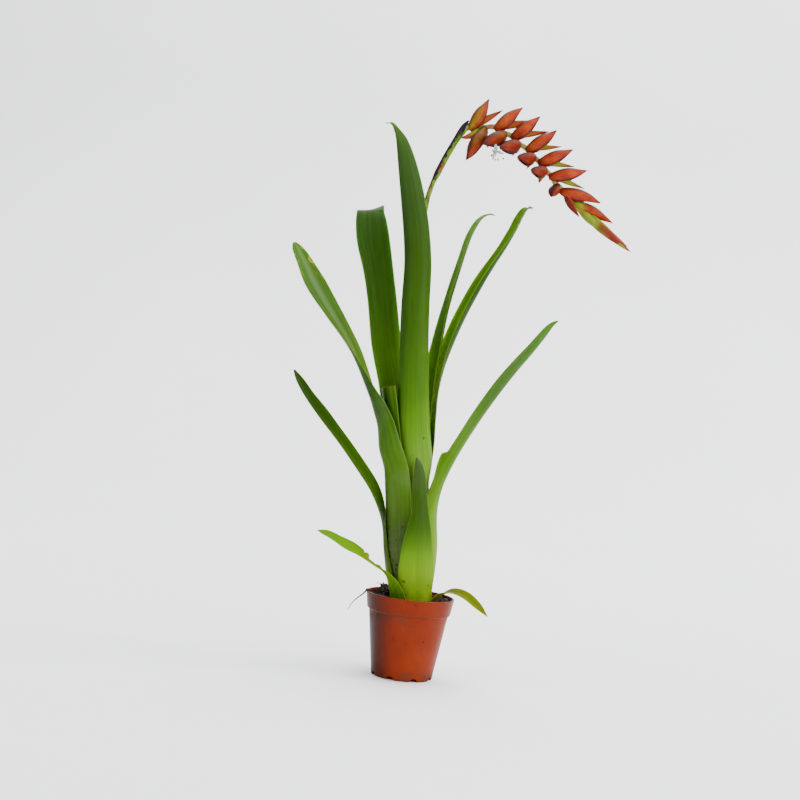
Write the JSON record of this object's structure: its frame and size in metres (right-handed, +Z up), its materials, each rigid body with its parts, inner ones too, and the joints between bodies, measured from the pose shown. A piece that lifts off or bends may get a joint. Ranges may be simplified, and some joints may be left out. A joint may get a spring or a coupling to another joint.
{
  "type": "potted bromeliad",
  "caption": "Small bromeliad with nested strap leaves and an arching spike of folded orange bracts, standing in a tapered plastic nursery pot.",
  "frame": {"origin": "centre of the pot's flat underside", "axes": "+Z up along the pot's axis, +X to the side the flower spike arches over, +Y away from the viewer of the picture"},
  "size_m": [0.2115, 0.0657, 0.3625],
  "materials": {
    "pot_plastic": "thin moulded terracotta-coloured plastic, satin, a little soiled",
    "potting_mix": "dark damp bark and peat, rough",
    "leaf": "leathery, satin, dark green above and pale yellow-green at the sheath",
    "stalk": "smooth, green mottled with purple-black",
    "bract": "satin orange-red, browner along the keel and at the foot",
    "petal": "thin translucent white"
  },
  "bodies": {
    "root": {"pot": "pot_plastic", "soil": "potting_mix", "leaf_right_inner": "leaf", "leaf_right_outer": "leaf", "leaf_tall_front": "leaf", "leaf_trimmed": "leaf", "leaf_folded_back": "leaf", "leaf_left_upper": "leaf", "leaf_right_arching": "leaf", "leaf_left_lower": "leaf", "leaf_short_front": "leaf", "leaf_small_left": "leaf", "leaf_small_right": "leaf", "stalk": "stalk", "spike": "bract", "open_flower": "petal"}
  },
  "joints": []
}
